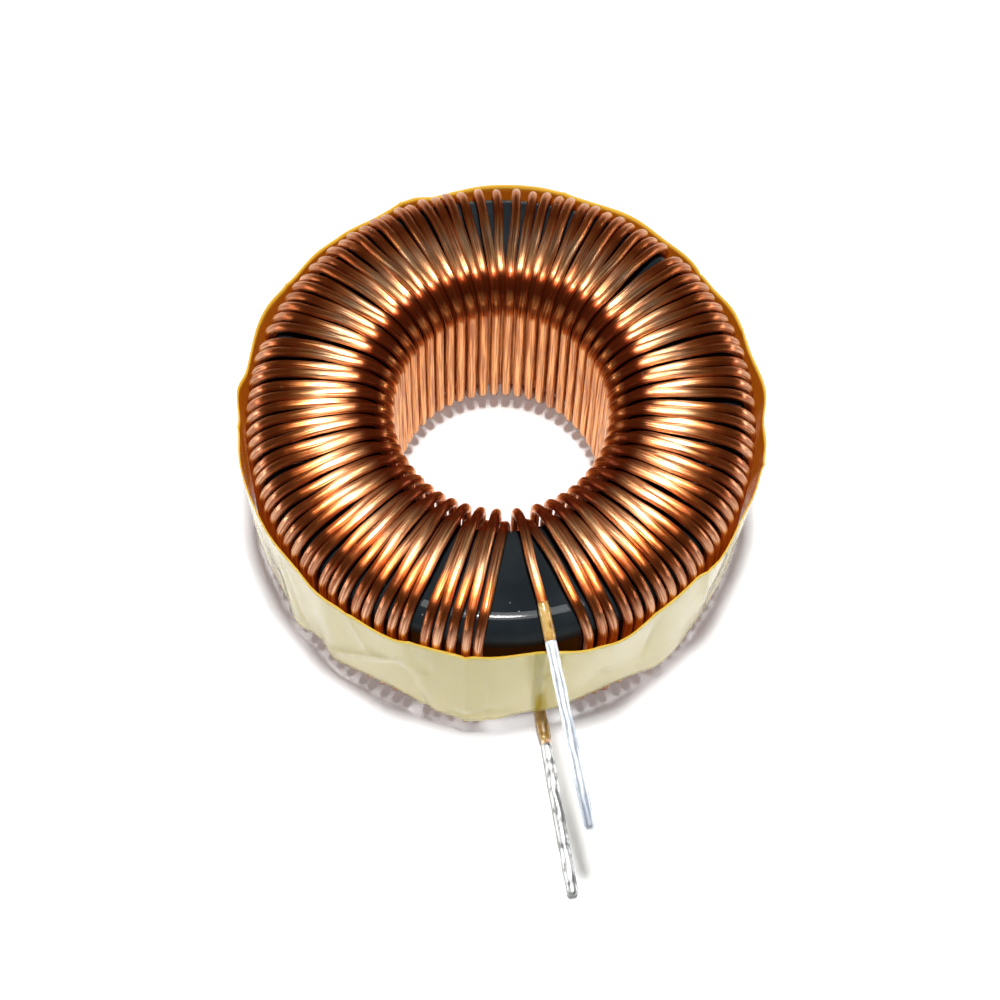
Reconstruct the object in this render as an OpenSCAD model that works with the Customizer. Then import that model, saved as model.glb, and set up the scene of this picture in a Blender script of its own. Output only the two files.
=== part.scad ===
// Toroidal inductor: one enamelled copper wire wound round a coated powder core,
// bound with a yellow film band, with two tinned lead ends.
// The ring's axis is Z, the part rests on z = 0 and the leads point towards -Y.

/* [Core] */
// Outer diameter of the coated core
core_od = 27.6; // [24:0.1:34]
// Diameter of the core's bore
core_id = 14.2; // [12:0.1:16]
// Height of the coated core
core_h = 11.9; // [8:0.1:16]
// Radius of the core's rounded edges
core_edge_r = 1.5; // [0.8:0.1:2]

/* [Wire] */
// Diameter of the wire over its enamel
wire_d = 0.55; // [0.4:0.01:0.6]
// Number of turns
turns = 105; // [60:1:105]
// Gap between the core's coat and the wire
wire_seat = 0.05; // [0.05:0.01:0.2]
// Free angle between the first and last turn on the outside
outer_gap = 24.6; // [15:0.1:40]
// How far the first inner leg closes up on the gap, in degrees
fan_start = 3.9; // [0:0.1:5]
// How far the last inner leg closes up on the gap, in degrees
fan_end = 8.5; // [0:0.1:9]
// Number of turns over which the inner legs fan out like this
fan_turns = 9; // [6:1:16]
// Step inwards from the inner legs on the core to those nested on them
nest_step = 0.54; // [0.5:0.01:0.8]
// Lift of the nested turns where they cross the core's inner edge
nest_lift = 0.62; // [0.58:0.01:0.75]
// Uneven spacing of the outer legs, in degrees
outer_stray = 0.25; // [0:0.01:0.3]
// Turns that lie further from the one before, so that the core shows between them
loose_turns = [23, 37, 49, 50, 51, 52, 72, 100];
// How much further they lie, in degrees
loose_by = 1.4; // [0:0.1:1.4]

/* [Top lead] */
// Direction of the top lead from the -Y axis, in degrees
top_lead_turn = 6.1; // [0:0.1:8]
// Angle by which the top lead drops past the core's edge
top_lead_drop = 24; // [15:1:24]
// Length of the top lead from its shoulder to the tin
top_lead_l = 1.3; // [0.4:0.1:9.4]

/* [Bottom lead] */
// Place of the bottom lead's inner leg, in degrees from the middle of the gap
bottom_leg_at = 3.2; // [3:0.1:4]
// Direction of the bottom lead from the -Y axis, in degrees
bottom_lead_turn = 2.1; // [0:0.1:6]
// Angle by which the bottom lead drops
bottom_lead_drop = 1; // [0.5:0.1:1.1]
// Length of the bottom lead from its inner leg to the tin
bottom_lead_l = 9.1; // [8.4:0.1:13.4]

/* [Lead ends] */
// Length of the tin on the top lead
top_tin_l = 10.6; // [3:0.1:20]
// Length of the tin on the bottom lead
bottom_tin_l = 9.1; // [3:0.1:20]
// Thickness of the tin on the wire
tin_t = 0.05; // [0.03:0.01:0.08]
// Length of the flux collar behind the bottom lead's tin
bottom_flux_l = 1.6; // [0.5:0.1:1.6]
// Thickness of the flux collars on the wire
flux_t = 0.035; // [0.02:0.005:0.035]
// Gap between the wire and what coats it
coat_seat = 0.01; // [0.005:0.005:0.015]

/* [Film band] */
// Thickness of the wrapped film
film_t = 0.08; // [0.05:0.01:0.2]
// Height of the band
film_w = 9.1; // [6:0.1:9.1]
// Height of the band's lower edge over the table
film_z = 2.6; // [2:0.1:2.9]
// Gap between the outer turns and the film where it lies closest
film_seat = 0.05; // [0.05:0.01:0.2]
// How far the loosest folds of the film stand off the turns
film_slack = 0.55; // [0.1:0.05:0.8]

/* [Hidden] */
$fn = 48;

// The bends are made at the full diameter and the straight runs a hair thinner, so that
// each run laps into its bend with clean edges.
run_thin = 0.02;
run_lap = 0.03;

// Distance from the core's middle plane to the wire's centre line on its faces
face_h = core_h / 2 + wire_seat + wire_d / 2;
// Bend radius of the centre line, round the core's edges
bend_r = core_edge_r + wire_seat + wire_d / 2;
// Radius of the outer legs, the inner legs on the core, and those nested on them
outer_r = core_od / 2 + wire_seat + wire_d / 2;
inner_r = core_id / 2 - wire_seat - wire_d / 2;
nested_r = inner_r - nest_step;
// Height of the core's middle plane: the nested turns' lowest points rest on z = 0
nest_slope = atan2(nest_lift, outer_r - nested_r);
mid_z = face_h + nest_lift + bend_r - tangent(90 + nest_slope) + wire_d / 2;

outer_step = (360 - outer_gap - loose_by * len(loose_turns)) / (turns - 1);
inner_step = (360 - outer_gap) / (turns - 1);

// Length from a corner to where a bend that turns by this angle starts
function tangent(angle) = bend_r * tan(angle / 2);
// A point at a radius and an angle from the middle of the gap, which faces -Y
function at(r, angle) = r * [sin(angle), -cos(angle)];
function is_nested(k) = k == turns || k % 2 == 1;
function lift(k) = is_nested(k) ? nest_lift : 0;
// The inner legs lie half a step before the outer ones and fan out beside the gap.
function fan(k) = fan_end * exp((k + 1 - turns) / fan_turns) - fan_start * exp((1 - k) / fan_turns);
function inner_angle(k) = k == 0 ? bottom_leg_at
  : k == turns ? 0
  : outer_gap / 2 + (k - 0.5) * inner_step + fan(k);
function inner_leg(k) = at(is_nested(k) ? nested_r : inner_r, inner_angle(k));
function loose_before(k) = len([for (turn = loose_turns) if (turn <= k) turn]);
function outer_angle(k) = outer_gap / 2 + k * outer_step + loose_by * loose_before(k)
  + outer_stray * sin(k * 137.5);
function outer_leg(k) = at(outer_r, outer_angle(k));
function heading(from, to) = atan2(to[1] - from[1], to[0] - from[0]);
// Where the legs meet the bends of a face span that falls by drop over its length
function inner_bend_end(drop, length) = face_h + drop - tangent(90 + atan2(drop, length));
function outer_bend_end(drop, length) = face_h - tangent(90 - atan2(drop, length));

// The top lead leaves its leg, crosses the core and turns down round the core's outer edge.
top_shoulder = core_od / 2 - core_edge_r - nested_r + bend_r * tan(top_lead_drop / 2);
top_slope = atan2(nest_lift, top_shoulder);
top_tangent = tangent(top_lead_drop - top_slope);

module run(length, d = wire_d) {
  translate([0, 0, -run_lap]) cylinder(h = length + 2 * run_lap, d = d - run_thin);
}

// A bend in the XZ plane about Y, from angle start round to start + angle
module bend(start, angle, d = wire_d) {
  rotate([90, 0, 0]) rotate([0, 0, start])
    rotate_extrude(angle = angle) translate([bend_r, 0]) circle(d = d);
}

// The wire over one face in the XZ plane: it leaves the inner leg at x = 0, lifted by
// drop, and falls to the outer leg at x = length.
module face_span(length, drop) {
  slope = atan2(drop, length);
  inner_t = tangent(90 + slope);
  outer_t = tangent(90 - slope);
  translate([bend_r, 0, face_h + drop - inner_t]) bend(90 - slope, 90 + slope);
  translate([inner_t * cos(slope), 0, face_h + drop - inner_t * sin(slope)])
    rotate([0, 90 + slope, 0]) run(norm([length, drop]) - inner_t - outer_t);
  translate([length - bend_r, 0, face_h - outer_t]) bend(0, 90 - slope);
}

// One stretch of the wire: up inner leg k, over the top, down outer leg k and back under the
// core. The first stretch starts with the bottom lead and the last one ends with the top lead.
module stretch(k) {
  leg = inner_leg(k);
  foot = k == 0
    ? face_h - tangent(90 - bottom_lead_drop)
    : inner_bend_end(lift(k), norm(outer_leg(k - 1) - leg));
  head_l = k == turns ? top_shoulder : norm(outer_leg(k) - leg);
  translate([leg[0], leg[1], -foot]) run(foot + inner_bend_end(lift(k), head_l));
  if (k == 0) bottom_lead();
  if (k == turns) top_lead(); else loop_outside(k, leg);
}

module loop_outside(k, leg) {
  out = outer_leg(k);
  next = inner_leg(k + 1);
  top_l = norm(out - leg);
  bottom_l = norm(out - next);
  outer_foot = outer_bend_end(lift(k + 1), bottom_l);
  translate(leg) rotate([0, 0, heading(leg, out)]) face_span(top_l, lift(k));
  translate([out[0], out[1], -outer_foot]) run(outer_foot + outer_bend_end(lift(k), top_l));
  translate(next) rotate([0, 0, heading(next, out)]) mirror([0, 0, 1])
    face_span(bottom_l, lift(k + 1));
}

// Frames of the two leads: the origin is on the inner leg and X runs outwards.
module top_lead_frame() {
  translate(inner_leg(turns)) rotate([0, 0, top_lead_turn - 90]) children();
}

module bottom_lead_frame() {
  translate(inner_leg(0)) rotate([0, 0, bottom_lead_turn - 90]) children();
}

// Places a piece on the top lead's straight end, at a distance from its shoulder.
module on_top_lead(distance) {
  top_lead_frame() translate([top_shoulder, 0, face_h]) rotate([0, 90 + top_lead_drop, 0])
    translate([0, 0, distance]) children();
}

// Places a piece on the bottom lead, at a distance from its inner leg.
module on_bottom_lead(distance) {
  bottom_lead_frame() translate([0, 0, -face_h]) rotate([0, 90 + bottom_lead_drop, 0])
    translate([0, 0, distance]) children();
}

module top_lead() {
  inner_t = tangent(90 + top_slope);
  rise = face_h + nest_lift;
  top_lead_frame() {
    translate([bend_r, 0, rise - inner_t]) bend(90 - top_slope, 90 + top_slope);
    translate([inner_t * cos(top_slope), 0, rise - inner_t * sin(top_slope)])
      rotate([0, 90 + top_slope, 0]) run(norm([top_shoulder, nest_lift]) - inner_t - top_tangent);
    shoulder_bend();
  }
  on_top_lead(top_tangent) run(top_lead_l + top_tin_l - top_tangent - run_lap);
}

// The top lead's bend round the core's outer edge, in the lead's frame. It can start
// some degrees early.
module shoulder_bend(d = wire_d, early = 0) {
  translate([
    top_shoulder - top_tangent * cos(top_slope) - bend_r * sin(top_slope),
    0,
    face_h + top_tangent * sin(top_slope) - bend_r * cos(top_slope)
  ]) bend(90 - top_lead_drop, top_lead_drop - top_slope + early, d);
}

module bottom_lead() {
  inner_t = tangent(90 - bottom_lead_drop);
  bottom_lead_frame() mirror([0, 0, 1]) translate([bend_r, 0, face_h - inner_t])
    bend(90 + bottom_lead_drop, 90 - bottom_lead_drop);
  on_bottom_lead(inner_t) run(bottom_lead_l + bottom_tin_l - inner_t - run_lap);
}

// Lifts a piece from the core's middle plane to its place over the table.
module raised() {
  translate([0, 0, mid_z]) children();
}

// A sleeve on the wire, with its ends square to it
module sleeve(length, wall) {
  difference() {
    cylinder(h = length, d = wire_d + 2 * (coat_seat + wall));
    translate([0, 0, -1]) cylinder(h = length + 2, d = wire_d + 2 * coat_seat);
  }
}

module core() color("#262b2e") {
  flat = core_h / 2 - core_edge_r;
  raised() rotate_extrude() {
    translate([core_id / 2, -flat]) square([(core_od - core_id) / 2, 2 * flat]);
    translate([core_id / 2 + core_edge_r, -core_h / 2])
      square([(core_od - core_id) / 2 - 2 * core_edge_r, core_h]);
    for (r = [core_id / 2 + core_edge_r, core_od / 2 - core_edge_r], z = [-flat, flat])
      translate([r, z]) circle(r = core_edge_r);
  }
}

module winding() color("#a8561f") raised() for (k = [0:turns]) stretch(k);

// The film's closest line round the turns. It stands off it in folds, each given as
// [direction in degrees from the middle of the gap, share of the slack]: it is drawn tight over
// the front, cuts straight across the gap and stands up in pleats round the rest.
film_r = outer_r + wire_d / 2 + film_seat;
film_folds = [
  [0, -0.4], [13, 0.5], [18, 0.7], [30, 0], [40, 0], [47, 0.6], [57, 0.4], [66, 0.7], [75, 0.8],
  [81, 0.5], [89, 1], [99, 0.5], [109, 0.8], [117, 0.4], [126, 0.7], [133, 0.5], [141, 0.7],
  [153, 0.4], [163, 0.6], [174, 0.5], [188, 0.2], [193, 0.7], [203, 0.2], [212, 0.5], [219, 0.7],
  [227, 0.5], [237, 0.9], [252, 0.3], [257, 0.8], [265, 0.4], [275, 0.7], [290, 0.5], [302, 0.2],
  [309, 0.4], [318, 0.1], [329, 0.3], [335, 0], [347, 0]
];
// Its lower edge hangs higher and lower, as [direction, height over film_z], and flares out
// where it hangs low.
film_hem = [
  [0, -0.4], [18, 0.7], [33, -0.5], [53, 0.5], [75, 0], [120, 0.2], [150, -0.2], [180, 0.1],
  [210, -0.2], [240, 0.2], [275, -0.1], [292, 0.5], [300, -0.5], [307, 0.2], [312, -0.3],
  [326, 0.5], [340, -0.6], [348, -0.8]
];
hem_flare = 0.4;
film_columns = 120;
film_levels = [0, 0.3, 0.65, 1];

// The value at a direction of a list of [direction, value], eased from each to the next
function eased(list, a) = let(
    i = max([for (k = [0:len(list) - 1]) if (list[k][0] <= a) k]),
    from = list[i],
    to = i + 1 < len(list) ? list[i + 1] : [360, list[0][1]],
    share = (1 - cos(180 * (a - from[0]) / (to[0] - from[0]))) / 2
  ) from[1] + (to[1] - from[1]) * share;
function film_standoff(a, u) = let(
    top = film_slack * eased(film_folds, a),
    flare = -hem_flare * eased(film_hem, a) * (1 - u)
  ) min(top, 0) + max(max(top, 0) + flare, 0);
function film_point(a, u) = let(
    r = film_r + film_standoff(a, u),
    low = film_z + eased(film_hem, a),
    high = film_z + film_w + 0.1 * sin(4 * a + 150) + 0.06 * sin(11 * a)
  ) [r * sin(a), -r * cos(a), low + u * (high - low)];
function grown(p, t) = let(r = norm([p[0], p[1]])) [p[0] * (r + t) / r, p[1] * (r + t) / r, p[2]];

module film_band() color("#e5ddb0") {
  loop = [
    for (u = film_levels) [0, u],
    for (i = [len(film_levels) - 1:-1:0]) [film_t, film_levels[i]]
  ];
  n = len(loop);
  points = [
    for (c = [0:film_columns - 1], e = loop)
      grown(film_point(c * 360 / film_columns, e[1]), e[0])
  ];
  faces = [
    for (c = [0:film_columns - 1], i = [0:n - 1])
      let(d = (c + 1) % film_columns, j = (i + 1) % n)
        each [
          [c * n + i, d * n + i, d * n + j],
          [c * n + i, d * n + j, c * n + j]
        ]
  ];
  polyhedron(points = points, faces = faces);
}

module tin_top() color("#c9d2dc")
  raised() on_top_lead(top_lead_l) sleeve(top_tin_l, tin_t);

module tin_bottom() color("#c9d2dc")
  raised() on_bottom_lead(bottom_lead_l) sleeve(bottom_tin_l, tin_t);

// The shape of the top lead's collar: the shoulder bend and the stretch up to the tin. A bore
// runs on past both ends.
module top_collar(d, past = 0) {
  top_lead_frame() shoulder_bend(d, past);
  on_top_lead(top_tangent) run(top_lead_l - top_tangent - run_lap + past, d);
}

module flux_top() color("#c08a3e") raised() difference() {
  top_collar(wire_d + 2 * (coat_seat + flux_t));
  top_collar(wire_d + 2 * coat_seat + run_thin, past = 1);
}

module flux_bottom() color("#c08a3e")
  raised() on_bottom_lead(bottom_lead_l - bottom_flux_l) sleeve(bottom_flux_l, flux_t);

core();
winding();
film_band();
tin_top();
tin_bottom();
flux_top();
flux_bottom();
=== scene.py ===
"""Looks of the toroidal inductor: wire, film band, tinned ends, flux, core coat, studio."""
import math

import bpy
import numpy as np
from mathutils import Matrix, Vector


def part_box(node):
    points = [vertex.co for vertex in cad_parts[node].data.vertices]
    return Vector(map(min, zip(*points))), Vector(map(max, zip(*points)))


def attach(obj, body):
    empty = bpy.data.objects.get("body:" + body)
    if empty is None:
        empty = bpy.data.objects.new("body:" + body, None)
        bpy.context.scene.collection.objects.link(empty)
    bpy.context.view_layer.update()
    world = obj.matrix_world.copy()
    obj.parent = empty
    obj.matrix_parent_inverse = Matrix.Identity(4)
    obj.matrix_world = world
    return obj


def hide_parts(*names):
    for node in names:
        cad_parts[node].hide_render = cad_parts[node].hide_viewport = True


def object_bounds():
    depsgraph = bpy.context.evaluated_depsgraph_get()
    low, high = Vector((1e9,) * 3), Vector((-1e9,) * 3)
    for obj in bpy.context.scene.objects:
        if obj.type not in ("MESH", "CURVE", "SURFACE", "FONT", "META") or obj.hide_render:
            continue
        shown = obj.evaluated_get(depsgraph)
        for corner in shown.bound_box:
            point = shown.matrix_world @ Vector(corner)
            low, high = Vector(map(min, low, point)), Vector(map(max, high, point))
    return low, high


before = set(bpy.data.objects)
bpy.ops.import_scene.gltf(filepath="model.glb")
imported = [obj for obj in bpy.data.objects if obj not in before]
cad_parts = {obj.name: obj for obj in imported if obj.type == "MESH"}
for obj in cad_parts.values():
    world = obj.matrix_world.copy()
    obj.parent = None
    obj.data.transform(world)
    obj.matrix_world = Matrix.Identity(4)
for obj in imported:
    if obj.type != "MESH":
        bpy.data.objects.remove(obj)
cad_low, cad_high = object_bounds()
core_low, core_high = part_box("core")

MM = 0.001

# ---------------------------------------------------------------- sizes, in millimetres
core_od = (core_high.x - core_low.x) / MM
core_h = (core_high.z - core_low.z) / MM
mid_z = (core_high.z + core_low.z) / 2 / MM
core_id = 14.2
core_edge_r = 1.5

wire_d = 0.55
turns = 105
wire_seat = 0.05
# The bare sector in front and the inner legs' fanning out towards it, in degrees and turns
outer_gap = 24.6
fan_start = 3.9
fan_end = 8.5
fan_turns = 9
# Every second inner leg stands this much nearer the axis and crosses this much higher.
nest_step = 0.54
nest_lift = 0.62
# The outer legs stray by up to this many degrees, a golden angle on at each turn.
outer_stray = 0.25
golden_angle = 137.5
# These turns stand this many degrees further from the one before.
loose_turns = [23, 37, 49, 50, 51, 52, 72, 100]
loose_by = 1.4
# The arch of the turns over the top face, the radii between which they arch, and its shape
arch = 0.45
arch_from = 6.8
arch_to = 14.1
arch_skew = 0.95
arch_power = 1.25
# Sideways wander of the wire, as sums of (width, rate, drift, rate of the drift) along it
wander = ((0.05, 0.61, 1.3, 0.043), (0.03, 1.37, 2.0, 0.071))
wire_bend_step = 0.36
wire_run_step = 0.7
wire_sides = 12
# The wire ends this far inside its tin.
wire_short = 0.4

# Each lead's heading and drop and the bottom lead's inner leg, in degrees, and the leads'
# lengths up to their tins
top_lead_turn = 6.1
top_lead_drop = 24
top_lead_l = 1.3
bottom_leg_at = 3.2
bottom_lead_turn = 2.1
bottom_lead_drop = 1
bottom_lead_l = 9.1

top_tin_l = 10.6
bottom_tin_l = 9.1
tin_r = wire_d / 2 + 0.06
# The bottom flux starts 0.5 mm nearer the film than its solid.
bottom_flux_l = 2.1
bottom_flux_r = wire_d / 2 + 0.13
top_flux_l = 2.1
top_flux_r = wire_d / 2 + 0.07
flux_into_tin = 0.15
flux_taper_l = 0.7
flux_bend_step = 0.06
flux_run_step = 0.12
sleeve_ring_step = 0.11
sleeve_rings = 24
sleeve_sides = 20
sleeve_waves = 9
# A sleeve's start is rounded over this length, and both ends narrow by this share.
sleeve_blunt_l = 0.25
sleeve_end_dip = 0.45
flux_waves = 8

film_t = 0.08
film_w = 9.1
film_z = 2.6
film_seat = 0.05
film_slack = 0.55
hem_slack = 0.3
hem_flare = 0.4
# Waves of the film's upper rim: (height, waves in a round, phase in degrees)
rim_waves = ((0.1, 4, 150), (0.06, 11, 0))
# How deep the listed creases are pressed, and how many widths away they fade out
crease_gain = 1.4
crease_reach = 3
film_columns = 720
film_levels = 24
# A painted reflection of the lead lies on the film's front as a strip that fades at its sides, and
# the strip is only on the front of the film.
lead_reflection_x = 0.26
lead_reflection_half_w = (0.22, 0.36)
lead_reflection_front = (-13.0, -12.5)
# Below its rim the film's inside darkens over this stretch, as painted shade.
shade_below_rim = (0.2, 0.6)
# The radii over which the copper's painted light and shade change, and those where the core's coat
# turns glossy
copper_painted_light_radii = (6.0, 14.5)
coat_shade = (7.4, 8.2)

face_h = core_h / 2 + wire_seat + wire_d / 2
bend_r = core_edge_r + wire_seat + wire_d / 2
outer_r = core_od / 2 + wire_seat + wire_d / 2
inner_r = core_id / 2 - wire_seat - wire_d / 2
nested_r = inner_r - nest_step
outer_step = (360 - outer_gap - loose_by * len(loose_turns)) / (turns - 1)
inner_step = (360 - outer_gap) / (turns - 1)
film_r = outer_r + wire_d / 2 + film_seat

# ---------------------------------------------------------------- camera

CAMERA_ELEVATION = math.radians(65.9)
CAMERA_AZIMUTH = math.radians(-9.3)
CAMERA_ROLL = math.radians(2.1)
CAMERA_DISTANCE = 0.147
CAMERA_LENS = 91.3
CAMERA_SHIFT_Y = -0.051
AIM = Vector((0, 0, (cad_low.z + mid_z * MM * 2) / 2))


def make_camera():
    """The photograph's view: elevation, azimuth and roll round the aimed point."""
    data = bpy.data.cameras.new("camera")
    data.sensor_width = 36
    data.lens = CAMERA_LENS
    data.shift_y = CAMERA_SHIFT_Y
    data.clip_start = 0.01
    data.clip_end = 20
    camera = bpy.data.objects.new("camera", data)
    back = Vector((
        math.sin(CAMERA_AZIMUTH) * math.cos(CAMERA_ELEVATION),
        -math.cos(CAMERA_AZIMUTH) * math.cos(CAMERA_ELEVATION),
        math.sin(CAMERA_ELEVATION),
    ))
    right = Vector((0, 0, 1)).cross(back).normalized()
    up = back.cross(right)
    rolled_right = right * math.cos(CAMERA_ROLL) + up * math.sin(CAMERA_ROLL)
    rolled_up = back.cross(rolled_right)
    turn = Matrix((rolled_right, rolled_up, back)).transposed()
    camera.matrix_world = Matrix.Translation(AIM + back * CAMERA_DISTANCE) @ turn.to_4x4()
    bpy.context.scene.collection.objects.link(camera)
    bpy.context.scene.camera = camera


make_camera()
bpy.context.scene.view_settings.view_transform = "Standard"

# ---------------------------------------------------------------- mesh helpers


def new_object(name, verts, faces, materials, smooth=True):
    """A mesh object in the scene, from vertices in metres."""
    mesh = bpy.data.meshes.new(name)
    mesh.from_pydata([tuple(v) for v in verts], [], [tuple(f) for f in faces])
    for material in materials:
        mesh.materials.append(material)
    if smooth:
        mesh.polygons.foreach_set("use_smooth", [True] * len(mesh.polygons))
    mesh.update()
    piece = bpy.data.objects.new(name, mesh)
    bpy.context.scene.collection.objects.link(piece)
    return piece


def unit(v):
    return v / np.linalg.norm(v)


def lengths_along(path):
    """The length of a path up to each of its points."""
    steps = np.linalg.norm(np.diff(path, axis=0), axis=1)
    return np.concatenate([[0], np.cumsum(steps)])


# A direction that no path starts along, to turn a tube's first ring by
TUBE_SIDE = (0.13, 0.21, 0.97)


def tube(path, radius, sides):
    """Vertices and faces of a tube round a path in mm; radius is a number or one per vertex."""
    path = np.asarray(path, float)
    count = len(path)
    tangents = np.gradient(path, axis=0)
    tangents /= np.linalg.norm(tangents, axis=1)[:, None]
    side = unit(np.cross(tangents[0], TUBE_SIDE))
    sideways = np.empty_like(path)
    for i in range(count):
        side = unit(side - tangents[i] * (side @ tangents[i]))
        sideways[i] = side
    other = np.cross(tangents, sideways)
    angles = np.arange(sides) * 2 * math.pi / sides
    ring = (
        sideways[:, None, :] * np.cos(angles)[None, :, None]
        + other[:, None, :] * np.sin(angles)[None, :, None]
    )
    radius = np.asarray(radius, float)
    if radius.ndim == 2:
        radius = radius[:, :, None]
    verts = (path[:, None, :] + ring * radius).reshape(-1, 3)
    i, j = np.meshgrid(np.arange(count - 1), np.arange(sides), indexing="ij")
    k = (j + 1) % sides
    here, ahead = i * sides, (i + 1) * sides
    faces = np.stack([here + j, here + k, ahead + k, ahead + j], -1).reshape(-1, 4).tolist()
    faces.append(list(range(sides))[::-1])
    faces.append([(count - 1) * sides + j for j in range(sides)])
    return verts * MM, faces


def wrap_uv(piece, path, sides):
    """A UV map on a tube's sides: U runs round it and V along it."""
    count = len(path)
    along = lengths_along(path)
    i, j = np.meshgrid(np.arange(count - 1), np.arange(sides), indexing="ij")
    u = np.stack([j, j + 1, j + 1, j], -1) / sides
    v = np.stack([along[i], along[i], along[i + 1], along[i + 1]], -1)
    uv = np.zeros((len(piece.data.loops), 2))
    uv[:u.size, 0] = u.reshape(-1)
    uv[:v.size, 1] = v.reshape(-1)
    piece.data.uv_layers.new(name="wrap").data.foreach_set("uv", uv.reshape(-1))


# ---------------------------------------------------------------- the wire's path


def at(r, angle):
    """X and Y at a radius and a direction in degrees, counted anticlockwise from the front."""
    a = math.radians(angle)
    return np.array([r * math.sin(a), -r * math.cos(a)])


def is_nested(k):
    """Whether inner leg k stands in the inner layer."""
    return k == turns or k % 2 == 1


def lift(k):
    """How much higher inner leg k crosses the core's inner edge."""
    return nest_lift if is_nested(k) else 0.0


def inner_angle(k):
    """Direction of inner leg k; the first and last are the leads' own."""
    if k == 0:
        return bottom_leg_at
    if k == turns:
        return 0.0
    fan = fan_end * math.exp((k + 1 - turns) / fan_turns)
    fan -= fan_start * math.exp((1 - k) / fan_turns)
    return outer_gap / 2 + (k - 0.5) * inner_step + fan


def inner_leg(k):
    return at(nested_r if is_nested(k) else inner_r, inner_angle(k))


def outer_leg(k):
    loose = loose_by * sum(1 for turn in loose_turns if turn <= k)
    stray = outer_stray * math.sin(math.radians(k * golden_angle))
    return at(outer_r, outer_gap / 2 + k * outer_step + loose + stray)


def point(xy, z):
    return np.array([xy[0], xy[1], z])


def lead_direction(turn, drop):
    """A lead's direction: turned from straight ahead and dropped from level, in degrees."""
    a = math.radians(turn - 90)
    d = math.radians(drop)
    return np.array([math.cos(a) * math.cos(d), math.sin(a) * math.cos(d), -math.sin(d)])


def rounded(corners, bend_step, run_step):
    """A path with every corner rounded at the bend radius: bends finely cut, runs coarsely."""
    path = [corners[0]]

    def run_to(end):
        start = path[-1]
        count = max(1, int(np.linalg.norm(end - start) / run_step))
        path.extend(start + (end - start) * i / count for i in range(1, count + 1))

    for a, b, c in zip(corners[:-2], corners[1:-1], corners[2:]):
        u = unit(b - a)
        v = unit(c - b)
        angle = math.acos(max(-1.0, min(1.0, float(u @ v))))
        reach = bend_r * math.tan(angle / 2)
        start = b - u * reach
        inward = unit(v - u * (u @ v))
        centre = start + inward * bend_r
        run_to(start)
        count = max(2, int(angle * bend_r / bend_step))
        for i in range(1, count + 1):
            f = angle * i / count
            path.append(centre + bend_r * (u * math.sin(f) - inward * math.cos(f)))
    run_to(corners[-1])
    return np.array(path)


bottom_direction = lead_direction(bottom_lead_turn, bottom_lead_drop)
bottom_start = point(inner_leg(0), -face_h)
top_direction = lead_direction(top_lead_turn, top_lead_drop)
# The top lead runs over the face and bends down at its shoulder.
top_bend_l = bend_r * math.tan(math.radians(top_lead_drop) / 2)
top_shoulder_l = core_od / 2 - core_edge_r - nested_r + top_bend_l
top_shoulder = point(inner_leg(turns), face_h) + lead_direction(top_lead_turn, 0) * top_shoulder_l
# Paths are made round the ring's middle and moved up by this.
MID = np.array([0, 0, mid_z])


def wire_corners():
    """The winding's corners, from the bottom lead's end round the ring to the top lead's."""
    bottom_l = bottom_lead_l + bottom_tin_l - wire_short
    top_l = top_lead_l + top_tin_l - wire_short
    corners = [bottom_start + bottom_direction * bottom_l, bottom_start]
    for k in range(turns):
        leg, out, following = inner_leg(k), outer_leg(k), inner_leg(k + 1)
        corners += [
            point(leg, face_h + lift(k)),
            point(out, face_h),
            point(out, -face_h),
            point(following, -face_h - lift(k + 1)),
        ]
    corners.append(point(inner_leg(turns), face_h + nest_lift))
    corners += [top_shoulder, top_shoulder + top_direction * top_l]
    return corners


def over_face(path):
    """0 at the legs, rising to 1 over the middle of the core's face."""
    r = np.hypot(path[:, 0], path[:, 1])
    t = np.clip((r - arch_from) / (arch_to - arch_from), 0, 1) ** arch_skew
    return np.sin(math.pi * t) ** arch_power


def arched(path):
    """The wire is stiff: over the top face it arches up between the core's edges."""
    rise = arch * over_face(path) * (path[:, 2] > 0)
    return path + np.stack([0 * rise, 0 * rise, rise], 1)


def wavy(path):
    """Hand winding: each turn wanders a little sideways over the core's faces."""
    s = lengths_along(path)
    swing = sum(
        width * np.sin(s * rate + drift * np.sin(s * drift_rate))
        for width, rate, drift, drift_rate in wander
    )
    around = np.stack([-path[:, 1], path[:, 0], np.zeros(len(path))], 1)
    around /= np.linalg.norm(around, axis=1)[:, None]
    return path + around * (swing * over_face(path))[:, None]


# ---------------------------------------------------------------- material helpers


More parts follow.
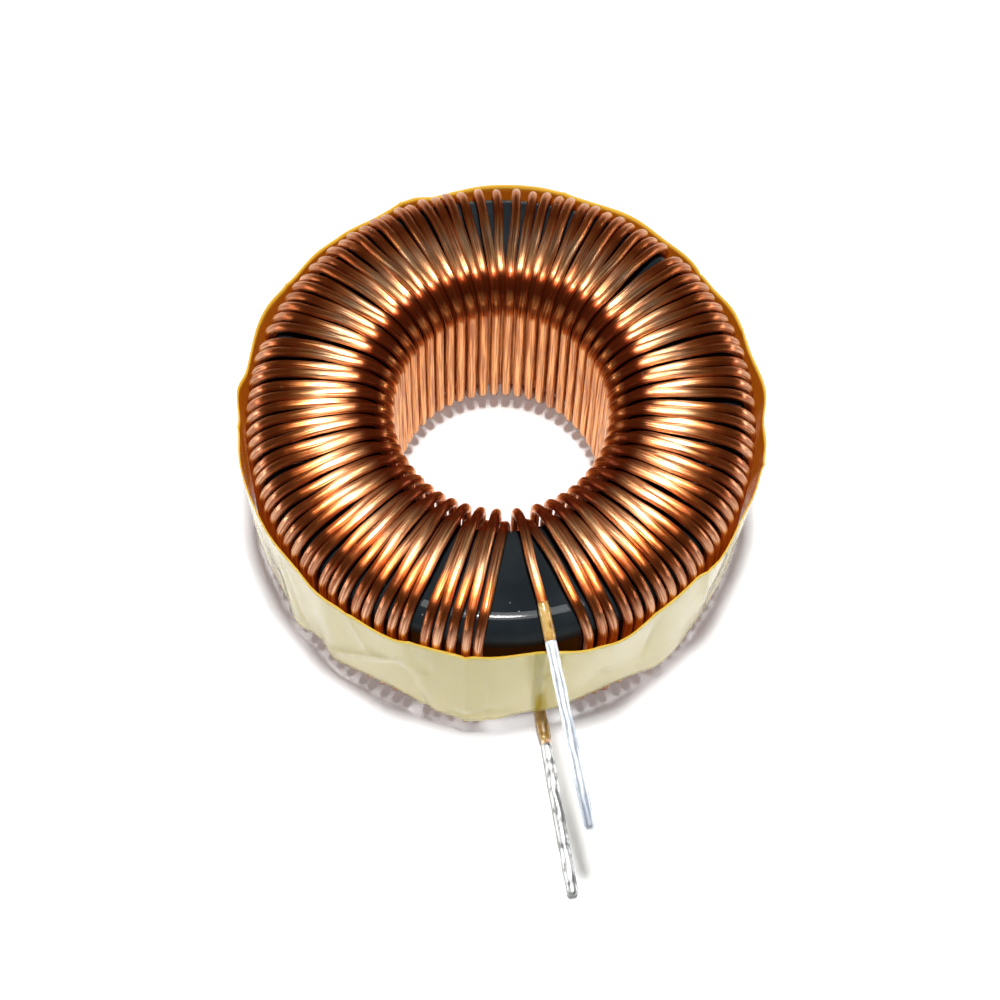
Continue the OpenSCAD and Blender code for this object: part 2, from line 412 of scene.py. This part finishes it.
class Material:
    """A Principled material and short ways to wire noise, ramps and bumps into it."""

    def __init__(self, name, **sockets):
        self.material = bpy.data.materials.new(name)
        self.material.use_nodes = True
        self.nodes = self.material.node_tree.nodes
        self.nodes.clear()
        self.links = self.material.node_tree.links
        output = self.nodes.new("ShaderNodeOutputMaterial")
        self.shader = self.nodes.new("ShaderNodeBsdfPrincipled")
        self.links.new(self.shader.outputs[0], output.inputs["Surface"])
        for socket, value in sockets.items():
            self.shader.inputs[socket.replace("_", " ")].default_value = value
        self.coordinates = self.nodes.new("ShaderNodeTexCoord").outputs["Object"]

    def link(self, output, socket):
        """Drives one of the shader's sockets."""
        self.links.new(output, self.shader.inputs[socket])

    def stretched(self, x, y, z):
        """The object's coordinates, scaled along each axis."""
        node = self.nodes.new("ShaderNodeMapping")
        node.inputs["Scale"].default_value = (x, y, z)
        self.links.new(self.coordinates, node.inputs["Vector"])
        return node.outputs[0]

    def wrapped(self, around, along):
        """The wrap UVs, scaled round the wire and along it."""
        uv = self.nodes.new("ShaderNodeUVMap")
        uv.uv_map = "wrap"
        node = self.nodes.new("ShaderNodeMapping")
        node.inputs["Scale"].default_value = (around, along, 1)
        self.links.new(uv.outputs[0], node.inputs["Vector"])
        return node.outputs[0]

    def noise(self, scale, detail=2.0, roughness=0.5, vector=None):
        node = self.nodes.new("ShaderNodeTexNoise")
        node.inputs["Scale"].default_value = scale
        node.inputs["Detail"].default_value = detail
        node.inputs["Roughness"].default_value = roughness
        self.links.new(vector or self.coordinates, node.inputs["Vector"])
        return node.outputs["Fac"]

    def cells(self, scale):
        """Distance from the nearest of many scattered points."""
        node = self.nodes.new("ShaderNodeTexVoronoi")
        node.inputs["Scale"].default_value = scale
        self.links.new(self.coordinates, node.inputs["Vector"])
        return node.outputs["Distance"]

    def from_axis(self):
        """Distance from the ring's axis, in metres."""
        flat = self.nodes.new("ShaderNodeVectorMath")
        flat.operation = "MULTIPLY"
        flat.inputs[1].default_value = (1, 1, 0)
        self.links.new(self.coordinates, flat.inputs[0])
        length = self.nodes.new("ShaderNodeVectorMath")
        length.operation = "LENGTH"
        self.links.new(flat.outputs[0], length.inputs[0])
        return length.outputs["Value"]

    def axis(self, name):
        """One of the object's coordinates, in metres."""
        parts = self.nodes.new("ShaderNodeSeparateXYZ")
        self.links.new(self.coordinates, parts.inputs[0])
        return parts.outputs[name]

    def beside(self, value, centre):
        """How far a value is from a centre, either way."""
        node = self.nodes.new("ShaderNodeMath")
        node.operation = "SUBTRACT"
        self.links.new(value, node.inputs[0])
        node.inputs[1].default_value = centre
        size = self.nodes.new("ShaderNodeMath")
        size.operation = "ABSOLUTE"
        self.links.new(node.outputs[0], size.inputs[0])
        return size.outputs[0]

    def product(self, first, second):
        node = self.nodes.new("ShaderNodeMath")
        node.operation = "MULTIPLY"
        self.links.new(first, node.inputs[0])
        self.links.new(second, node.inputs[1])
        return node.outputs[0]

    def remap(self, value, low, high, to_low, to_high):
        """A value between low and high, mapped to the other two and clamped there."""
        node = self.nodes.new("ShaderNodeMapRange")
        node.inputs["From Min"].default_value = low
        node.inputs["From Max"].default_value = high
        node.inputs["To Min"].default_value = to_low
        node.inputs["To Max"].default_value = to_high
        self.links.new(value, node.inputs["Value"])
        return node.outputs[0]

    def ramp(self, value, *stops):
        """A colour ramp through (position, colour) stops."""
        node = self.nodes.new("ShaderNodeValToRGB")
        elements = node.color_ramp.elements
        while len(elements) < len(stops):
            elements.new(0.5)
        for element, (position, colour) in zip(elements, stops):
            element.position = position
            element.color = (*colour, 1)
        self.links.new(value, node.inputs["Fac"])
        return node.outputs["Color"]

    def mix(self, factor, first, second):
        """Mixes two colours; each is a colour or an output."""
        node = self.nodes.new("ShaderNodeMix")
        node.data_type = "RGBA"
        self.links.new(factor, node.inputs["Factor"])
        for socket, value in ((node.inputs[6], first), (node.inputs[7], second)):
            if isinstance(value, tuple):
                socket.default_value = (*value, 1)
            else:
                self.links.new(value, socket)
        return node.outputs[2]

    def bump(self, height, strength, distance):
        node = self.nodes.new("ShaderNodeBump")
        node.inputs["Strength"].default_value = strength
        node.inputs["Distance"].default_value = distance
        self.links.new(height, node.inputs["Height"])
        self.link(node.outputs[0], "Normal")


def copper_material():
    """Drawn copper under amber enamel: its die marks spread the highlights round the wire.

    From the inner legs outwards the ramp holds painted light and shade: pale legs, painted shade
    on the inner shoulders, a painted highlight on the crest, painted shade on the outer flats and
    painted highlights on the tips.
    """
    m = Material(
        "copper_wire", Metallic=0.88, Coat_Weight=0.25, Coat_Roughness=0.05, Anisotropic=0.92
    )
    m.shader.inputs["Specular Tint"].default_value = (1.0, 0.80, 0.62, 1)
    # A faint painted glow keeps the gaps between the turns brown.
    m.shader.inputs["Emission Color"].default_value = (1.0, 0.18, 0.05, 1)
    m.shader.inputs["Emission Strength"].default_value = 0.014
    tangent = m.nodes.new("ShaderNodeTangent")
    tangent.direction_type = "UV_MAP"
    tangent.uv_map = "wrap"
    m.link(tangent.outputs[0], "Tangent")
    # Painted light and shade by distance from the axis.
    painted_light_by_radius = m.ramp(
        m.remap(m.from_axis(), copper_painted_light_radii[0] * MM, copper_painted_light_radii[1] * MM, 0, 1),
        (0.0, (0.96, 0.48, 0.18)),
        (0.07, (0.90, 0.40, 0.12)),
        (0.11, (0.20, 0.024, 0.004)),
        (0.21, (0.30, 0.040, 0.006)),
        (0.33, (0.86, 0.46, 0.200)),
        (0.49, (0.92, 0.58, 0.320)),
        (0.60, (0.72, 0.29, 0.090)),
        (0.70, (0.38, 0.085, 0.014)),
        (0.86, (0.46, 0.13, 0.030)),
        (1.0, (0.96, 0.62, 0.40)),
    )
    die_marks = m.noise(1, 2, vector=m.wrapped(16, 0.2))
    # Dark streaks along the die marks, towards the dark copper colour, are painted shade.
    shade = m.remap(die_marks, 0.40, 0.60, 0.85, 0)
    copper = m.mix(shade, painted_light_by_radius, (0.30, 0.060, 0.012))
    dust = m.remap(m.cells(800), 0.05, 0.03, 0, 0.7)
    m.link(m.mix(dust, copper, (0.95, 0.80, 0.62)), "Base Color")
    m.link(m.remap(m.noise(900, 4), 0.3, 0.7, 0.28, 0.35), "Roughness")
    m.bump(die_marks, 1.0, 0.00006)
    return m.material


def core_material():
    """Glossy black epoxy coat with slow waves and dust; duller inside the bore."""
    m = Material("core_coat", IOR=1.5)
    base = m.ramp(m.noise(350, 3), (0.35, (0.014, 0.019, 0.022)), (0.7, (0.024, 0.030, 0.034)))
    dust = m.remap(m.cells(900), 0.05, 0.025, 0, 0.8)
    m.link(m.mix(dust, base, (0.35, 0.37, 0.38)), "Base Color")
    gloss = m.remap(m.from_axis(), coat_shade[0] * MM, coat_shade[1] * MM, 0.02, 0.07)
    m.link(gloss, "Specular IOR Level")
    m.link(m.remap(m.noise(500, 3), 0.3, 0.7, 0.04, 0.10), "Roughness")
    m.bump(m.noise(420, 2), 0.12, 0.00005)
    return m.material


def film_material(name, low, high, glow, coat, painted_shade=None):
    """Yellow film with soft wrinkles and a painted glow for light through it; the inside gets
    painted shade low down, the outside a painted reflection of the lead.
    """
    m = Material(name, IOR=1.45, Coat_Weight=coat, Coat_Roughness=0.06, Coat_IOR=1.5)
    # The emission is a painted glow for light that comes through the film.
    m.shader.inputs["Emission Color"].default_value = (1.0, 0.24, 0.01, 1)
    m.shader.inputs["Emission Strength"].default_value = glow
    wash = m.noise(120, 3, vector=m.stretched(1, 1, 0.5))
    colour = m.ramp(wash, (0.35, low), (0.7, high))
    if painted_shade:
        m.shader.inputs["Specular IOR Level"].default_value = 0.05
        # Painted shade: the inside darkens below its rim.
        from_z, to_z = ((film_z + film_w - below) * MM for below in shade_below_rim)
        colour = m.mix(m.remap(m.axis("Z"), from_z, to_z, 0, 1), colour, painted_shade)
    else:
        # An olive strip of painted reflection of the lead on the film's front.
        full_w, faded_w = (half_w * MM for half_w in lead_reflection_half_w)
        lead_reflection_strip = m.remap(m.beside(m.axis("X"), lead_reflection_x * MM), full_w, faded_w, 0.85, 0)
        from_y, to_y = (y * MM for y in lead_reflection_front)
        front = m.remap(m.axis("Y"), from_y, to_y, 1, 0)
        colour = m.mix(m.product(lead_reflection_strip, front), colour, (0.55, 0.43, 0.02))
    m.link(colour, "Base Color")
    m.link(m.remap(m.noise(500, 3), 0.3, 0.7, 0.12, 0.24), "Roughness")
    m.bump(m.noise(210, 2, vector=m.stretched(1, 1, 0.4)), 0.1, 0.0001)
    return m.material


def tin_material(name, dark, pale, grain):
    """Dip tin: pale, satin and a little grainy, with runs of a darker tone along the wire."""
    m = Material(name, Metallic=1.0)
    runs = m.noise(500, 4, vector=m.stretched(2.5, 0.35, 1))
    colour = m.ramp(runs, (0.36, dark), (0.50, pale))
    grains = m.remap(m.noise(2600, 2, vector=m.stretched(1, 0.6, 1)), 0.40, 0.52, grain, 0)
    m.link(m.mix(grains, colour, (0.10, 0.10, 0.10)), "Base Color")
    m.link(m.remap(m.noise(900, 4), 0.3, 0.7, 0.42, 0.58), "Roughness")
    m.bump(m.noise(1100, 4), 0.3, 0.00004)
    return m.material


def flux_material():
    """Amber rosin, thin and lumpy, over charred enamel."""
    m = Material("flux", IOR=1.52, Coat_Weight=0.6, Coat_Roughness=0.12, Subsurface_Weight=0.15)
    m.shader.inputs["Subsurface Radius"].default_value = (0.0006, 0.0003, 0.0001)
    amber = m.ramp(
        m.noise(1500, 4),
        (0.32, (0.42, 0.19, 0.03)),
        (0.5, (0.78, 0.46, 0.11)),
        (0.68, (0.93, 0.68, 0.28)),
    )
    m.link(amber, "Base Color")
    m.link(m.remap(m.noise(1300, 3), 0.3, 0.7, 0.2, 0.4), "Roughness")
    m.bump(m.noise(2200, 3), 0.5, 0.00008)
    return m.material


# ---------------------------------------------------------------- pieces


def add(piece, node):
    """Puts a piece in the place of a CAD node."""
    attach(piece, "root")
    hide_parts(node)


def make_wire(material):
    """The turns and both leads, one wire."""
    path = wavy(arched(rounded(wire_corners(), wire_bend_step, wire_run_step))) + MID
    verts, faces = tube(path, wire_d / 2, wire_sides)
    piece = new_object("wire", verts, faces, [material])
    wrap_uv(piece, path, wire_sides)
    add(piece, "winding")


# Direction, and how far the film stands off the turns there (or is pressed in between them),
# as a share of its slack
film_folds = [
    (0, -0.4), (13, 0.5), (18, 0.7), (30, 0), (40, 0), (47, 0.6), (57, 0.4), (66, 0.7), (75, 0.8),
    (81, 0.5), (89, 1), (99, 0.5), (109, 0.8), (117, 0.4), (126, 0.7), (133, 0.5), (141, 0.7),
    (153, 0.4), (163, 0.6), (174, 0.5), (188, 0.2), (193, 0.7), (203, 0.2), (212, 0.5), (219, 0.7),
    (227, 0.5), (237, 0.9), (252, 0.3), (257, 0.8), (265, 0.4), (275, 0.7), (290, 0.5), (302, 0.2),
    (309, 0.4), (318, 0.1), (329, 0.3), (335, 0), (347, 0),
]
# Direction, and how far the film's lower edge is above (or below) its level there, in mm
film_hem = [
    (0, -0.4), (18, 0.7), (33, -0.5), (53, 0.5), (75, 0), (120, 0.2), (150, -0.2), (180, 0.1),
    (210, -0.2), (240, 0.2), (275, -0.1), (292, 0.5), (300, -0.5), (307, 0.2), (312, -0.3),
    (326, 0.5), (340, -0.6), (348, -0.8),
]
# Creases pressed into the film: from (direction, height share) to the same, depth and width in mm
film_creases = [
    (311.5, 0.13, 329, 0.59, 0.10, 0.30),
    (329, 0.56, 336.5, 0.0, -0.12, 0.28),
    (345, 1.0, 345, 0.0, 0.10, 0.35),
    (347.5, 1.0, 350, 0.0, -0.06, 0.25),
    (343.7, 0.09, 346.1, 0.11, -0.09, 0.16),
    (349.7, 0.18, 351.7, 0.19, -0.09, 0.16),
    (333, 1.0, 336, 0.62, -0.12, 0.22),
    (317, 1.0, 322, 0.5, 0.05, 0.25),
    (12, 0.9, 17, 0.1, 0.05, 0.25),
    (16, 0.42, 17, 0.38, -0.09, 0.14),
    (29, 1.0, 25, 0.3, -0.06, 0.22),
    (43, 1.0, 45, 0.5, 0.08, 0.22),
    (52, 0.9, 60, 0.2, -0.07, 0.25),
    (296, 0.8, 304, 0.1, -0.08, 0.3),
    (71, 1.0, 78, 0.3, 0.07, 0.22),
    (84, 0.3, 92, 0.05, -0.08, 0.25),
    (104, 0.95, 101, 0.2, 0.05, 0.2),
    (121, 1.0, 130, 0.55, -0.06, 0.22),
    (140, 0.5, 146, 0.0, 0.07, 0.25),
    (158, 1.0, 163, 0.35, 0.05, 0.2),
    (170, 0.45, 181, 0.1, -0.06, 0.22),
    (196, 1.0, 193, 0.3, 0.06, 0.2),
    (207, 0.7, 216, 0.25, -0.06, 0.25),
    (229, 1.0, 226, 0.1, 0.06, 0.22),
    (243, 0.6, 252, 0.0, -0.07, 0.25),
    (266, 1.0, 270, 0.4, 0.06, 0.22),
    (281, 0.5, 286, 0.05, 0.07, 0.25),
]


def eased(points, a):
    """The value at a direction of a list of (direction, value), eased from each to the next."""
    i = max(k for k, (direction, _) in enumerate(points) if direction <= a)
    from_a, from_value = points[i]
    to_a, to_value = points[i + 1] if i + 1 < len(points) else (360, points[0][1])
    share = (1 - math.cos(math.pi * (a - from_a) / (to_a - from_a))) / 2
    return from_value + (to_value - from_value) * share


def creased(a, u):
    """How far the creases push the film out at a direction and a share of its height."""
    push = 0.0
    x, y = math.radians(a) * film_r, u * film_w
    for from_a, from_u, to_a, to_u, depth, width in film_creases:
        ax, ay = math.radians(from_a) * film_r, from_u * film_w
        bx, by = math.radians(to_a) * film_r, to_u * film_w
        length2 = (bx - ax) ** 2 + (by - ay) ** 2
        along = max(0.0, min(1.0, ((x - ax) * (bx - ax) + (y - ay) * (by - ay)) / length2))
        gap = math.hypot(x - ax - along * (bx - ax), y - ay - along * (by - ay))
        if gap < crease_reach * width:
            push += crease_gain * depth * math.exp(-gap / width)
    return push


def film_point(a, u, out):
    """A point of the film, in metres: out is how far it is from the film's inner side."""
    top = film_slack * eased(film_folds, a)
    flare = -hem_flare * eased(film_hem, a) * (1 - u)
    loose = max(top, 0) * (hem_slack + (1 - hem_slack) * u)
    standoff = min(top, 0) + max(loose + flare, 0)
    r = film_r + max(standoff + creased(a, u), min(top, 0)) + out
    low = film_z + eased(film_hem, a)
    high = film_z + film_w
    for height, waves, phase in rim_waves:
        high += height * math.sin(math.radians(waves * a + phase))
    s = math.radians(a)
    return (r * math.sin(s) * MM, -r * math.cos(s) * MM, (low + u * (high - low)) * MM)


def make_film(outside, inside):
    """The band as one closed shell; its rim, hem and inner side have the inside's material."""
    verts, faces, kinds = [], [], []
    ring = [(film_t, i / film_levels) for i in range(film_levels + 1)]
    ring += [(0.0, 1 - i / film_levels) for i in range(film_levels + 1)]
    n = len(ring)
    for c in range(film_columns):
        for out, u in ring:
            verts.append(film_point(c * 360 / film_columns, u, out))
    for c in range(film_columns):
        d = (c + 1) % film_columns
        for i in range(n):
            j = (i + 1) % n
            faces.append((c * n + i, d * n + i, d * n + j, c * n + j))
            kinds.append(0 if i < film_levels else 1)
    piece = new_object("film", verts, faces, [outside, inside])
    piece.data.polygons.foreach_set("material_index", kinds)
    add(piece, "film_band")


def lumpy_sleeve(start, direction, length, radius, lump, seed, wedge):
    """A sleeve of solder or resin along a straight lead, uneven round and along it.

    Its radius wanders down by up to about two lumps, each a share of it; it is blunt at its
    start, and narrows over the wedge's length at its end.
    """
    rings = max(sleeve_rings, int(length / sleeve_ring_step))
    t = np.linspace(0, 1, rings)
    path = start + direction[None, :] * (t * length)[:, None]
    rng = np.random.default_rng(seed)
    around = np.arange(sleeve_sides) * 2 * math.pi / sleeve_sides
    swell = np.zeros((rings, sleeve_sides))
    for _ in range(sleeve_waves):
        waves = rng.uniform(0.4, 2.2) * length
        turns_round = rng.integers(0, 4)
        phase = rng.uniform(0, 6.28)
        swell += np.sin(t[:, None] * waves * 2 + turns_round * around[None, :] + phase) / 3
    radii = radius * (1 - lump) + radius * lump * np.clip(swell, -1, 1) * 0.9
    start_end = np.clip(t * length / sleeve_blunt_l, 0, 1)
    far_end = np.clip((1 - t) * length / wedge, 0, 1)
    narrowed = 1 - sleeve_end_dip + sleeve_end_dip * np.sqrt(np.minimum(start_end, far_end))
    return tube(path + MID, radii * narrowed[:, None], sleeve_sides)


def make_sleeve(name, node, slot, material, **shape):
    """A lumpy sleeve as a piece in the place of a CAD node."""
    verts, faces = lumpy_sleeve(**shape)
    add(new_object(name, verts, faces, [material]), node)


def make_lead_ends(tin, dull_tin, flux):
    """The tin and the flux of both leads."""
    top_tin_start = top_shoulder + top_direction * top_lead_l
    bottom_tin_start = bottom_start + bottom_direction * bottom_lead_l
    bottom_flux_start = bottom_tin_start - bottom_direction * bottom_flux_l
    make_sleeve(
        "tinned_top", "tin_top", "tin", tin,
        start=top_tin_start, direction=top_direction, length=top_tin_l,
        radius=tin_r, lump=0.05, seed=3, wedge=0.25,
    )
    make_sleeve(
        "tinned_bottom", "tin_bottom", "tin", dull_tin,
        start=bottom_tin_start, direction=bottom_direction, length=bottom_tin_l,
        radius=tin_r, lump=0.08, seed=8, wedge=0.2,
    )
    make_sleeve(
        "resin_bottom", "flux_bottom", "flux", flux,
        start=bottom_flux_start, direction=bottom_direction, length=bottom_flux_l,
        radius=bottom_flux_r, lump=0.12, seed=5, wedge=0.2,
    )
    make_top_resin(flux, top_tin_start)


def make_top_resin(material, tin_start):
    """The flux behind the top lead's tin, which follows the lead's bend at its shoulder."""
    corners = [
        point(inner_leg(turns), face_h + nest_lift),
        top_shoulder,
        tin_start + top_direction * flux_into_tin,
    ]
    path = rounded(corners, flux_bend_step, flux_run_step)
    s = lengths_along(path)
    path = arched(path[s > s[-1] - top_flux_l])
    rng = np.random.default_rng(11)
    t = lengths_along(path)
    around = np.arange(sleeve_sides) * 2 * math.pi / sleeve_sides
    swell = np.zeros((len(path), sleeve_sides))
    for _ in range(flux_waves):
        along = t[:, None] * rng.uniform(2, 9)
        turned = rng.integers(0, 4) * around[None, :]
        swell += np.sin(along + turned + rng.uniform(0, 6.28)) / 4
    radii = top_flux_r * (0.96 + 0.035 * np.clip(swell, -1, 1))
    radii *= (0.86 + 0.14 * np.clip(t / flux_taper_l, 0, 1) ** 0.7)[:, None]
    verts, faces = tube(path + MID, radii, sleeve_sides)
    add(new_object("resin_top", verts, faces, [material]), "flux_top")


make_wire(copper_material())
make_film(
    film_material(
        "film_outside", low=(0.84, 0.69, 0.18), high=(0.94, 0.78, 0.24), glow=0, coat=0.35
    ),
    # The inside's deeper orange and its glow are painted light: light through the film and the
    # copper's reflection.
    film_material(
        "film_inside", low=(0.66, 0.44, 0.04), high=(0.76, 0.54, 0.07), glow=0.17, coat=0,
        painted_shade=(0.48, 0.16, 0.015),
    ),
)
make_lead_ends(
    tin_material("tin", dark=(0.42, 0.46, 0.53), pale=(0.84, 0.89, 0.94), grain=0.15),
    tin_material("dull_tin", dark=(0.12, 0.12, 0.12), pale=(0.80, 0.82, 0.82), grain=0.75),
    flux_material(),
)
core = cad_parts["core"]
core.data.materials.clear()
core.data.materials.append(core_material())

# ---------------------------------------------------------------- studio


FLOOR_SIZE = 3.0
FLOOR_Z = -0.0002


def make_floor():
    """A plain floor, just under the part: brighter to the camera and in reflections."""
    corners = ((-1, -1), (1, -1), (1, 1), (-1, 1))
    verts = [(x * FLOOR_SIZE, y * FLOOR_SIZE, FLOOR_Z) for x, y in corners]
    floor = new_object("floor", verts, [(0, 1, 2, 3)], [], smooth=False)
    material = bpy.data.materials.new("floor")
    material.use_nodes = True
    nodes, links = material.node_tree.nodes, material.node_tree.links
    nodes.clear()
    output = nodes.new("ShaderNodeOutputMaterial")
    diffuse = nodes.new("ShaderNodeBsdfDiffuse")
    diffuse.inputs["Color"].default_value = (0.98, 0.98, 0.98, 1)
    pale = nodes.new("ShaderNodeBsdfDiffuse")
    pale.inputs["Color"].default_value = (0.88, 0.88, 0.88, 1)
    glow = nodes.new("ShaderNodeEmission")
    glow.inputs["Strength"].default_value = 0.2
    white = nodes.new("ShaderNodeAddShader")
    links.new(diffuse.outputs[0], white.inputs[0])
    links.new(glow.outputs[0], white.inputs[1])
    rays = nodes.new("ShaderNodeLightPath")
    seen = rays.outputs["Is Camera Ray"]
    for kind in ("Is Glossy Ray", "Is Transmission Ray"):
        either = nodes.new("ShaderNodeMath")
        either.operation = "MAXIMUM"
        links.new(seen, either.inputs[0])
        links.new(rays.outputs[kind], either.inputs[1])
        seen = either.outputs[0]
    choose = nodes.new("ShaderNodeMixShader")
    links.new(seen, choose.inputs[0])
    links.new(pale.outputs[0], choose.inputs[1])
    links.new(white.outputs[0], choose.inputs[2])
    links.new(choose.outputs[0], output.inputs["Surface"])
    floor.data.materials.append(material)


def make_world():
    """A dim room: pale near the horizon, dark overhead."""
    world = bpy.data.worlds.new("studio")
    bpy.context.scene.world = world
    world.use_nodes = True
    nodes, links = world.node_tree.nodes, world.node_tree.links
    nodes.clear()
    direction = nodes.new("ShaderNodeTexCoord")
    parts = nodes.new("ShaderNodeSeparateXYZ")
    ramp = nodes.new("ShaderNodeValToRGB")
    background = nodes.new("ShaderNodeBackground")
    output = nodes.new("ShaderNodeOutputWorld")
    stops = ((0.0, 0.35), (0.08, 0.16), (0.20, 0.05), (0.5, 0.02))
    elements = ramp.color_ramp.elements
    while len(elements) < len(stops):
        elements.new(0.5)
    for element, (position, grey) in zip(elements, stops):
        element.position = position
        element.color = (grey, grey, grey, 1)
    links.new(direction.outputs["Generated"], parts.inputs[0])
    links.new(parts.outputs["Z"], ramp.inputs["Fac"])
    links.new(ramp.outputs["Color"], background.inputs["Color"])
    links.new(background.outputs[0], output.inputs["Surface"])


def area_light(name, place, size, radiance, sheen_only=False):
    """A soft box aimed at the part; radiance is how bright its face looks.

    A sheen_only lamp makes highlights on gloss and metal and leaves matt surfaces alone.
    """
    data = bpy.data.lights.new(name, "AREA")
    data.shape = "RECTANGLE"
    data.size, data.size_y = size
    data.energy = radiance * size[0] * size[1] * math.pi
    light = bpy.data.objects.new(name, data)
    light.location = place
    light.visible_diffuse = not sheen_only
    light.rotation_mode = "QUATERNION"
    light.rotation_quaternion = (Vector(place) - AIM).to_track_quat("Z", "Y")
    bpy.context.scene.collection.objects.link(light)


make_floor()
make_world()
area_light("overhead", (0.0, 0.0, 0.45), (0.04, 0.04), 400.0)
area_light("sheen", (0.0, 0.0, 0.46), (0.20, 0.20), 18.0, sheen_only=True)
area_light("left", (-0.50, 0.0, 0.03), (0.3, 0.05), 14.0, sheen_only=True)
area_light("right", (0.50, 0.0, 0.03), (0.3, 0.05), 14.0, sheen_only=True)
area_light("front", (0.0, -0.6, 0.06), (0.6, 0.1), 0.9)
